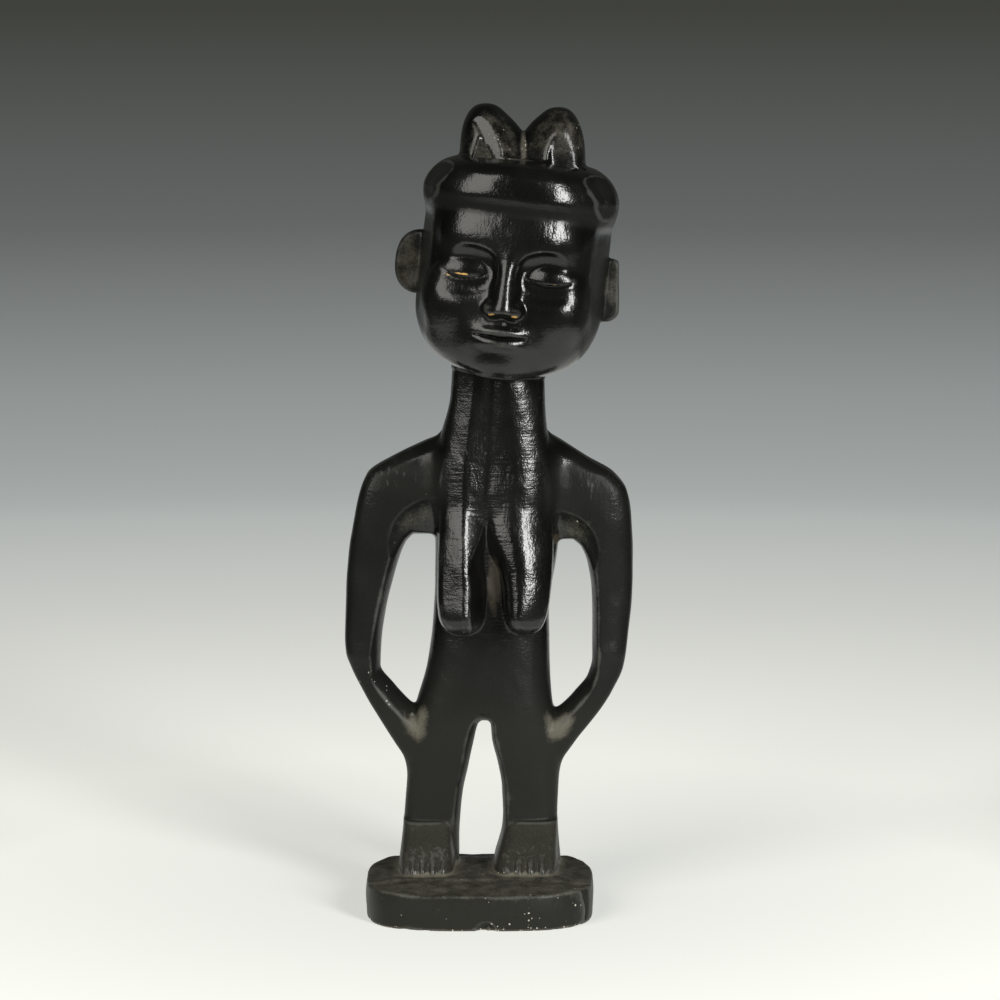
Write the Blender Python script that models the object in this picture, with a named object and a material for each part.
"""A standing woman carved in the round, with the oval base under her feet, from one block of wood.

The body is one squarish column that runs from the base up into the neck. A flat slab across it is
both shoulders, arms and hands. Two gaps pierced through the slab part the arms from the waist, and
a third parts the legs. The breasts, feet, head, hair and ears stand proud of that block, and every
form runs softly into the next, as it does under a knife.

Tables and sizes are in millimetres, and MM turns them into metres. +Z is up, the figure faces -Y,
and the origin is the middle of the base's underside. Left and right are the viewer's.
"""

import math

import bmesh
import bpy
import numpy as np
from mathutils import Matrix, Vector

MM = 0.001
RING_POINTS = 48
RING_RISE = 3.0

# Level sections of the body: height, left, right, front, back, squareness (2 is an ellipse).
BODY = (
    (12, -38.0, 39.0, 6.0, 36.0, 4.0),
    (45, -36.0, 36.9, 6.0, 34.5, 4.0),
    (64, -34.7, 37.7, 4.0, 35.0, 3.5),
    (82, -34.3, 37.5, 1.0, 38.0, 3.2),
    (98, -29.8, 34.5, -0.5, 38.5, 3.0),
    (116, -25.0, 33.1, 0.0, 34.5, 2.8),
    (140, -22.0, 32.7, 0.5, 32.0, 2.8),
    (180, -21.0, 37.2, -1.0, 34.0, 2.8),
    (200, -23.0, 37.0, -2.0, 34.5, 2.6),
    (214, -21.5, 35.5, -3.0, 33.0, 2.7),
    (228, -17.5, 31.5, -4.0, 30.5, 2.9),
    (245, -13.0, 30.1, -5.0, 29.0, 3.2),
    (266, -12.0, 29.6, -6.0, 28.0, 3.2),
)

# Level sections of the slab that holds the shoulders, arms and hands.
ARMS = (
    (62, -32.5, 35.5, 14.0, 27.0, 5.0),
    (70, -35.8, 39.6, 9.5, 28.0, 5.0),
    (78, -40.7, 45.1, 7.0, 28.0, 5.0),
    (90, -48.0, 54.3, 5.5, 28.0, 5.0),
    (102, -54.9, 62.4, 5.0, 29.0, 5.0),
    (114, -60.8, 67.9, 5.0, 30.0, 5.0),
    (121, -63.4, 69.2, 4.5, 30.5, 5.0),
    (129, -64.1, 70.1, 5.0, 31.0, 5.0),
    (149, -63.5, 72.0, 5.0, 32.0, 5.0),
    (168, -62.1, 72.4, 4.0, 33.0, 5.0),
    (187, -59.0, 71.4, 3.0, 34.0, 5.0),
    (198, -56.6, 69.4, 3.0, 33.5, 4.5),
    (206, -53.3, 63.7, 3.5, 33.0, 4.0),
    (213.5, -42.4, 51.4, 5.0, 31.0, 3.5),
    (221, -27.0, 40.0, 7.0, 29.0, 3.0),
    (227, -12.0, 30.0, 11.0, 25.0, 3.0),
)

# The gaps. An edge is a curve of (height, x) up the limb; a gap widens from its narrowest level,
# halfway through the wood, to the front and back, away from a hub (x, height).
GAP_MIDDLE = 18.0
GAP_REACH = 14.0
LEFT_ARM_EDGE = ((94.5, -30.5), (98, -34.2), (106, -41.4), (114.5, -47.4), (125, -47.0),
                 (140, -44.8), (152, -42.2), (167, -38.0), (174, -34.8), (177.5, -31.5))
RIGHT_ARM_EDGE = ((93, 35), (94.5, 37.5), (102, 45.2), (110, 51.4), (118, 53.3),
                  (137, 53.3), (152, 52.7), (163.5, 51.0), (171.5, 47.8), (175, 44))
LEFT_LEG_EDGE = ((10, -10.1), (32, -10.1), (44, -9.2), (56, -7.7), (67.4, -5.3), (79, -2.9),
                 (87, -0.9), (88.7, 1.0))
RIGHT_LEG_EDGE = ((10, 7.0), (24.6, 8.0), (32, 10.0), (44, 10.9), (56, 10.4), (67.4, 8.5),
                  (79, 5.7), (87, 5.0), (88.7, 3.6))
LEFT_ARM_HUB, LEFT_ARM_SPREAD = (-29.0, 135.0), (0.36, 0.36)
RIGHT_ARM_HUB, RIGHT_ARM_SPREAD = (41.6, 133.0), (0.30, 0.30)
LEG_HUB, LEG_SPREAD = (3.0, 60.0), (0.38, 0.06)
LEFT_WAIST, RIGHT_WAIST = -15.0, 28.0

# Level sections of the two breasts, from the corners of the neck down to the bevel under each.
LEFT_BREAST = (
    (134, -15.0, -1.0, 4.0, 15.0, 2.6),
    (144, -19.8, 3.0, -12.5, 15.0, 2.6),
    (152, -20.2, 2.5, -14.0, 15.0, 2.6),
    (170, -19.8, 1.2, -11.8, 15.0, 2.4),
    (190, -18.2, 3.0, -7.8, 15.0, 2.3),
    (208, -15.5, 5.0, -4.9, 14.0, 2.3),
    (228, -13.0, 5.0, -4.4, 12.0, 2.4),
    (262, -9.5, 4.0, -6.2, 10.0, 2.6),
)
RIGHT_BREAST = (
    (134, 13.0, 27.0, 4.0, 15.0, 2.6),
    (144, 8.5, 31.5, -12.5, 15.0, 2.6),
    (152, 10.0, 33.0, -14.0, 15.0, 2.6),
    (170, 11.0, 34.5, -11.8, 15.0, 2.4),
    (190, 11.5, 34.0, -7.8, 15.0, 2.3),
    (208, 12.5, 31.5, -4.9, 14.0, 2.3),
    (228, 12.5, 28.5, -4.4, 12.0, 2.4),
    (262, 14.0, 27.5, -6.2, 10.0, 2.6),
)

# Level sections of the feet, which slope down to the toes and end in a step at the ankle.
LEFT_FOOT = (
    (13, -38.6, -12.0, -15.5, 34.0, 4.0),
    (21, -38.4, -12.0, -15.0, 34.0, 4.0),
    (32, -37.4, -13.0, -7.0, 34.0, 4.0),
    (40, -36.7, -15.0, 0.5, 33.0, 4.0),
    (45.5, -36.2, -16.2, 3.4, 33.0, 4.0),
)
RIGHT_FOOT = (
    (13, 6.5, 37.2, -15.5, 34.0, 4.0),
    (21, 6.5, 37.0, -15.0, 34.0, 4.0),
    (32, 9.3, 36.8, -7.0, 34.0, 4.0),
    (40, 11.6, 36.6, 0.5, 33.0, 4.0),
    (45.5, 13.0, 36.8, 3.4, 33.0, 4.0),
)
TOES = 5
TOE_GROOVE_RADIUS = 1.1
TOE_GROOVE_TOP = (-7.5, 32.5)
TOE_GROOVE_FOOT = (-17.5, 20.0)

BASE_LEFT, BASE_RIGHT, BASE_FRONT, BASE_BACK, BASE_SQUARENESS = -53.4, 53.2, -45.0, 43.0, 3.3
BASE_RIM = ((-4, 0.4), (3, 0.0), (10, -0.4), (16, 0.0), (18, 0.9), (19, 2.6))
SPLIT_AT = (47.6, -29.5)
SPLIT_DEPTH, SPLIT_WIDTH, SPLIT_BEARING = 13.0, 3.0, math.radians(33)

# The head leans to the right and turns a little to the left. Heights on it count from its middle.
HEAD_MIDDLE = (15.0, 2.0, 300.0)
HEAD_LEAN = math.radians(6.5)
HEAD_TURN = math.radians(-4)
CROWN, CHIN, JAW_TOP = 56.0, -46.0, -8.0
JAW_FULLNESS, CHIN_RETREAT, NAPE_RETREAT = 2.5, 17.0, 27.0
HEAD_HALF_WIDTH, HEAD_FRONT, HEAD_BACK = 43.6, -37.5, 39.5
HEAD_SQUARENESS = 2.5

# The face: a plain design on the usual canon. The eyes are halfway down the head, the nose ends
# halfway from brow to chin, the mouth is a third of the way below it, and the eyes are one
# eye's width apart.
EYE_LINE = (CROWN + CHIN) / 2
BROW_LINE = EYE_LINE + 0.09 * (CROWN - CHIN)
NOSE_BASE = (BROW_LINE + CHIN) / 2
MOUTH_LINE = NOSE_BASE + (CHIN - NOSE_BASE) / 3
EYE_WIDTH = 2 * HEAD_HALF_WIDTH / 4.5

# Level sections of the hair from the roll over the forehead to the crown: half-width for
# left and right, then front and back.
HAIR = (
    (29, -40.0, 40.0, -33.0, 38.5, 2.6),
    (33, -44.8, 44.8, -38.3, 42.0, 2.5),
    (38, -45.6, 45.6, -40.2, 43.0, 2.5),
    (43, -44.4, 44.4, -39.4, 42.0, 2.5),
    (47.5, -41.5, 41.5, -35.0, 39.0, 2.4),
    (51, -37.0, 37.5, -27.0, 35.0, 2.3),
    (53.5, -31.0, 33.0, -17.0, 29.0, 2.2),
    (55.5, -20.0, 24.0, -4.0, 20.0, 2.0),
)

# The two buns stand upright, whatever the lean of the head: x of the foot's middle and of the
# peak, half-width and top.
BUNS = ((5.8, 3.0, 14.8, 380.0), (34.8, 36.6, 14.2, 378.4))
BUN_FOOT, BUN_MIDDLE_Y, BUN_HALF_DEPTH, BUN_FULLNESS = 346.0, 4.0, 20.0, 2.3
SADDLE, SADDLE_RADII = (20.4, 4.0, 358.0), (4.0, 13.0, 10.5)

# Ears: side, half-height, height of the middle, reach beyond the side of the head.
EARS = ((-1, 15.0, 1.5, 12.0), (1, 14.8, -1.5, 7.0))
EAR_HALF_THICKNESS, EAR_BACK_SET = 4.6, 7.0

SKIN_VOXEL = 1.0
SKIN_SOFTENING = 5
SKIN_KEEP = 0.028


def eased(rows, heights):
    """The table's columns at these heights, on smooth curves that never overshoot a row."""
    table = np.array(rows, float)
    levels, values = table[:, 0], table[:, 1:]
    gaps = np.diff(levels)[:, None]
    slopes = np.diff(values, axis=0) / gaps
    before, after = slopes[:-1], slopes[1:]
    agree = before * after > 0
    inner = np.where(agree, 2 * before * after / np.where(agree, before + after, 1), 0)
    tangents = np.vstack((slopes[:1], inner, slopes[-1:]))
    low = np.clip(np.searchsorted(levels, heights) - 1, 0, len(levels) - 2)
    gap = gaps[low]
    t = (np.asarray(heights, float) - levels[low])[:, None] / gap
    return ((1 + 2 * t) * (1 - t) ** 2 * values[low] + t * (1 - t) ** 2 * gap * tangents[low]
            + t * t * (3 - 2 * t) * values[low + 1] + t * t * (t - 1) * gap * tangents[low + 1])


def oval(left, right, front, back, squareness, height):
    """One level section: an ellipse whose corners fill out as squareness rises above 2."""
    turn = np.arange(RING_POINTS) * 2 * math.pi / RING_POINTS
    across, along = np.cos(turn), np.sin(turn)
    power = 2 / squareness
    x = (left + right) / 2 + (right - left) / 2 * np.sign(across) * np.abs(across) ** power
    y = (front + back) / 2 + (back - front) / 2 * np.sign(along) * np.abs(along) ** power
    return [Vector((a, b, height)) for a, b in zip(x, y)]


def loft(name, rings, shelf, place=None):
    """One closed skin over a stack of rings, with flat ends, in the collection shelf."""
    place = place or Matrix.Identity(4)
    mesh = bpy.data.meshes.new(name)
    skin = bmesh.new()
    layers = [[skin.verts.new((place @ point) * MM) for point in ring] for ring in rings]
    for lower, upper in zip(layers, layers[1:]):
        for i, corner in enumerate(lower):
            j = (i + 1) % len(lower)
            skin.faces.new((corner, lower[j], upper[j], upper[i]))
    skin.faces.new(layers[0][::-1])
    skin.faces.new(layers[-1])
    bmesh.ops.recalc_face_normals(skin, faces=skin.faces)
    skin.to_mesh(mesh)
    skin.free()
    return on_shelf(name, mesh, shelf)


def on_shelf(name, mesh, shelf):
    """The mesh as an object in a collection, drawn as wire where it only shapes another."""
    thing = bpy.data.objects.new(name, mesh)
    shelf.objects.link(thing)
    if shelf is not bpy.context.scene.collection:
        thing.hide_render = True
        thing.display_type = 'WIRE'
    return thing


def stack(name, rows, shelf, place=None):
    """A loft through a table of level sections, with a ring about every RING_RISE."""
    count = max(6, round((rows[-1][0] - rows[0][0]) / RING_RISE))
    heights = np.linspace(rows[0][0], rows[-1][0], count + 1)
    rings = [oval(*section, height) for section, height in zip(eased(rows, heights), heights)]
    return loft(name, rings, shelf, place)


def ball(name, middle, radii, shelf, place=None):
    """An ellipsoid with its middle and radii along x, y and z, for a swelling or a scoop."""
    place = place or Matrix.Identity(4)
    mesh = bpy.data.meshes.new(name)
    skin = bmesh.new()
    stretch = Matrix.Diagonal((*[radius * MM for radius in radii], 1))
    move = Matrix.Translation(Vector(middle) * MM)
    place_in_metres = place.copy()
    place_in_metres.translation = place.translation * MM
    bmesh.ops.create_uvsphere(skin, u_segments=24, v_segments=16, radius=1,
                              matrix=place_in_metres @ move @ stretch)
    skin.to_mesh(mesh)
    skin.free()
    return on_shelf(name, mesh, shelf)


def rod(name, start, end, radius, shelf):
    """A round bar between two points, for a groove."""
    start, end = Vector(start), Vector(end)
    along = end - start
    mesh = bpy.data.meshes.new(name)
    skin = bmesh.new()
    place = (Matrix.Translation((start + end) / 2 * MM)
             @ along.to_track_quat('Z', 'Y').to_matrix().to_4x4())
    bmesh.ops.create_cone(skin, cap_ends=True, segments=6, radius1=radius * MM,
                          radius2=radius * MM, depth=along.length * MM, matrix=place)
    skin.to_mesh(mesh)
    skin.free()
    return on_shelf(name, mesh, shelf)


def gap(name, outer, inner, hub, spread, shelf):
    """A cutter through the wood from front to back, wider towards both faces.

    Its outline runs up the outer edge and down the inner one, each a curve of (height, x).
    """
    rise = np.linspace(0, 1, 16)
    up = outer[0][0] + (outer[-1][0] - outer[0][0]) * rise
    down = inner[0][0] + (inner[-1][0] - inner[0][0]) * rise[::-1]
    outline = [(x, z) for x, z in zip(eased(outer, up)[:, 0], up)]
    outline += [(x, z) for x, z in zip(eased(inner, down)[:, 0], down)]
    rings = []
    for step in (-1.7, -1, 0, 1, 1.7):
        wide, tall = 1 + spread[0] * abs(step), 1 + spread[1] * abs(step)
        rings.append([Vector((hub[0] + (x - hub[0]) * wide, GAP_MIDDLE + GAP_REACH * step,
                              hub[1] + (z - hub[1]) * tall)) for x, z in outline])
    return loft(name, rings, shelf)


def boolean(thing, operation, other):
    """A Boolean on thing with one object, or with all the objects of a collection."""
    step = thing.modifiers.new(operation.lower(), 'BOOLEAN')
    step.operation = operation
    step.solver = 'EXACT'
    if isinstance(other, bpy.types.Collection):
        step.operand_type = 'COLLECTION'
        step.collection = other
    else:
        step.object = other


def shelf_named(name):
    """A collection for parts that are added to, or taken from, the block."""
    shelf = bpy.data.collections.new(name)
    bpy.context.scene.collection.children.link(shelf)
    return shelf


def head_place():
    """Where the head sits: turned on its neck, leaned to one side and lifted to its middle."""
    return (Matrix.Translation(HEAD_MIDDLE) @ Matrix.Rotation(HEAD_LEAN, 4, 'Y')
            @ Matrix.Rotation(HEAD_TURN, 4, 'Z'))


def make_arms(shelf, legs):
    """The shoulder slab, pierced on each side of the waist and between the legs."""
    arms = stack("arms", ARMS, shelf)
    piercings = shelf_named("arm gaps")
    left_waist = ((LEFT_ARM_EDGE[0][0], LEFT_WAIST), (LEFT_ARM_EDGE[-1][0], LEFT_WAIST))
    right_waist = ((RIGHT_ARM_EDGE[0][0], RIGHT_WAIST), (RIGHT_ARM_EDGE[-1][0], RIGHT_WAIST))
    gap("left arm gap", LEFT_ARM_EDGE, left_waist, LEFT_ARM_HUB, LEFT_ARM_SPREAD, piercings)
    gap("right arm gap", RIGHT_ARM_EDGE, right_waist, RIGHT_ARM_HUB, RIGHT_ARM_SPREAD, piercings)
    boolean(arms, 'DIFFERENCE', piercings)
    boolean(arms, 'DIFFERENCE', legs)


def make_base(shelf):
    """The oval base, with its rounded rim."""
    rings = []
    for height, inset in BASE_RIM:
        rings.append(oval(BASE_LEFT + inset, BASE_RIGHT - inset, BASE_FRONT + inset,
                          BASE_BACK - inset, BASE_SQUARENESS, height))
    loft("base", rings, shelf)


def make_split(shelf):
    """The drying split that opens the right end of the base, widest at the top."""
    reach = Matrix.Rotation(SPLIT_BEARING, 4, 'Z')
    wedge = []
    for height, share in ((1.5, 0.15), (22, 1.0)):
        mouth = share * SPLIT_WIDTH / 2
        corners = ((-SPLIT_DEPTH, 0), (6, -mouth * 1.5), (6, mouth * 1.5))
        wedge.append([Vector((*SPLIT_AT, 0)) + reach @ Vector((x, y, height)) for x, y in corners])
    loft("split", wedge, shelf)


def make_toes(shelf):
    """The grooves between the toes, down the slope of each foot."""
    for side, foot in (("left", LEFT_FOOT), ("right", RIGHT_FOOT)):
        left, right = foot[1][1:3]
        for i in range(1, TOES):
            x = left + (right - left) * (i / TOES)
            rod(f"{side} toe groove {i}", (x, *TOE_GROOVE_TOP), (x, *TOE_GROOVE_FOOT),
                TOE_GROOVE_RADIUS, shelf)


def make_head(shelf):
    """The head with its eye sockets, and on it the lids, nose, lips, ears, hair and buns."""
    place = head_place()
    rows = []
    for drop in np.sin(np.linspace(0.97, 0, 12) * math.pi / 2):
        narrow = (1 - drop ** JAW_FULLNESS) ** (1 / JAW_FULLNESS)
        rows.append((JAW_TOP + (CHIN - JAW_TOP) * drop,
                     -HEAD_HALF_WIDTH * narrow, HEAD_HALF_WIDTH * narrow,
                     HEAD_FRONT + CHIN_RETREAT * (1 - narrow),
                     HEAD_BACK - NAPE_RETREAT * drop ** 1.5, HEAD_SQUARENESS))
    rows.append((HAIR[2][0], *rows[-1][1:]))
    head = stack("head", rows, shelf, place)
    sockets = shelf_named("eye sockets")
    half_eye = EYE_WIDTH / 2
    for side, x in (("left", -EYE_WIDTH), ("right", EYE_WIDTH)):
        ball(f"{side} socket", (x, HEAD_FRONT + 1, EYE_LINE + 0.5),
             (half_eye + 4, 6.5, BROW_LINE - EYE_LINE + 1.5), sockets, place)
        ball(f"{side} lid", (x, HEAD_FRONT + 5.5, EYE_LINE - 1),
             (half_eye + 1.5, 6.5, 6.8), shelf, place)
    boolean(head, 'DIFFERENCE', sockets)
    nose = ((NOSE_BASE - 1, -7.0, 7.0, -40.5, -30, 2.4), (NOSE_BASE + 2, -8.2, 8.2, -45.5, -30, 2.3),
            (NOSE_BASE + 6, -6.0, 6.0, -45.0, -30, 2.2), (EYE_LINE, -3.6, 3.6, -40.5, -30, 2.2),
            (BROW_LINE, -5.5, 5.5, -37.0, -30, 2.2))
    stack("nose", nose, shelf, place)
    for name, height, reach in (("upper lip", 2.2, 6.0), ("lower lip", -2.0, 5.6)):
        ball(name, (0, HEAD_FRONT + 3.4, MOUTH_LINE + height), (13, reach, 2.6), shelf, place)
    for side, half_height, height, reach in EARS:
        ball("ear", (side * HEAD_HALF_WIDTH, EAR_BACK_SET, height),
             (reach, EAR_HALF_THICKNESS, half_height), shelf, place)
    stack("hair", HAIR, shelf, place)


def make_slits(shelf):
    """The slit of each closed eye, low on its lid."""
    for side, x in (("left", -EYE_WIDTH), ("right", EYE_WIDTH)):
        ball(f"{side} slit", (x, HEAD_FRONT - 0.5, EYE_LINE - 3.2), (EYE_WIDTH / 2 + 1, 3.2, 0.8),
             shelf, head_place())


def make_buns(shelf):
    """Two upright buns of hair, each hollowed by one scoop in front."""
    scoops = shelf_named("bun scoops")
    for foot, peak, half_width, top in BUNS:
        rings = []
        for rise in np.sin(np.linspace(0, 0.995, 12) * math.pi / 2):
            narrow = (1 - rise ** BUN_FULLNESS) ** (1 / BUN_FULLNESS)
            middle = foot + (peak - foot) * rise
            width, depth = half_width * narrow, BUN_HALF_DEPTH * narrow
            rings.append(oval(middle - width, middle + width, BUN_MIDDLE_Y - depth,
                              BUN_MIDDLE_Y + depth, 2.2, BUN_FOOT + (top - BUN_FOOT) * rise))
        bun = loft("bun", rings, shelf)
        ball("scoop", (peak + 0.5, BUN_MIDDLE_Y - BUN_HALF_DEPTH, BUN_FOOT + 13.5),
             (7.0, 6.0, 10.0), scoops)
        boolean(bun, 'DIFFERENCE', scoops)
    ball("saddle between the buns", SADDLE, SADDLE_RADII, shelf)


def black_lacquer():
    """The finish: black lacquer rubbed to a soft gloss."""
    material = bpy.data.materials.new("black lacquered wood")
    material.use_nodes = True
    shader = material.node_tree.nodes["Principled BSDF"]
    shader.inputs["Base Color"].default_value = (0.012, 0.011, 0.010, 1)
    shader.inputs["Roughness"].default_value = 0.32
    shader.inputs["Metallic"].default_value = 0.0
    return material


def make_figure():
    """The whole carving: join and cut its forms, soften the joints, and cut it level below."""
    scene_shelf = bpy.context.scene.collection
    figure = stack("figure", BODY, scene_shelf)
    figure.data.materials.append(black_lacquer())

    legs = shelf_named("leg gap")
    gap("gap between the legs", LEFT_LEG_EDGE, RIGHT_LEG_EDGE, LEG_HUB, LEG_SPREAD, legs)
    boolean(figure, 'DIFFERENCE', legs)

    forms = shelf_named("forms")
    stack("left breast", LEFT_BREAST, forms)
    stack("right breast", RIGHT_BREAST, forms)
    stack("left foot", LEFT_FOOT, forms)
    stack("right foot", RIGHT_FOOT, forms)
    make_arms(forms, legs)
    make_base(forms)
    make_head(forms)
    make_buns(forms)
    boolean(figure, 'UNION', forms)

    skin = figure.modifiers.new("skin", 'REMESH')
    skin.mode = 'VOXEL'
    skin.voxel_size = SKIN_VOXEL * MM
    skin.use_smooth_shade = True
    soften = figure.modifiers.new("soften", 'SMOOTH')
    soften.factor = 0.5
    soften.iterations = SKIN_SOFTENING
    fewer = figure.modifiers.new("fewer faces", 'DECIMATE')
    fewer.ratio = SKIN_KEEP

    grooves = shelf_named("grooves")
    make_toes(grooves)
    make_slits(grooves)
    make_split(grooves)
    slab = [[Vector((x, y, height)) for x, y in ((-90, -90), (90, -90), (90, 90), (-90, 90))]
            for height in (-20, 0)]
    loft("below the base", slab, grooves)
    boolean(figure, 'DIFFERENCE', grooves)


for old in list(bpy.data.objects):
    bpy.data.objects.remove(old, do_unlink=True)
make_figure()
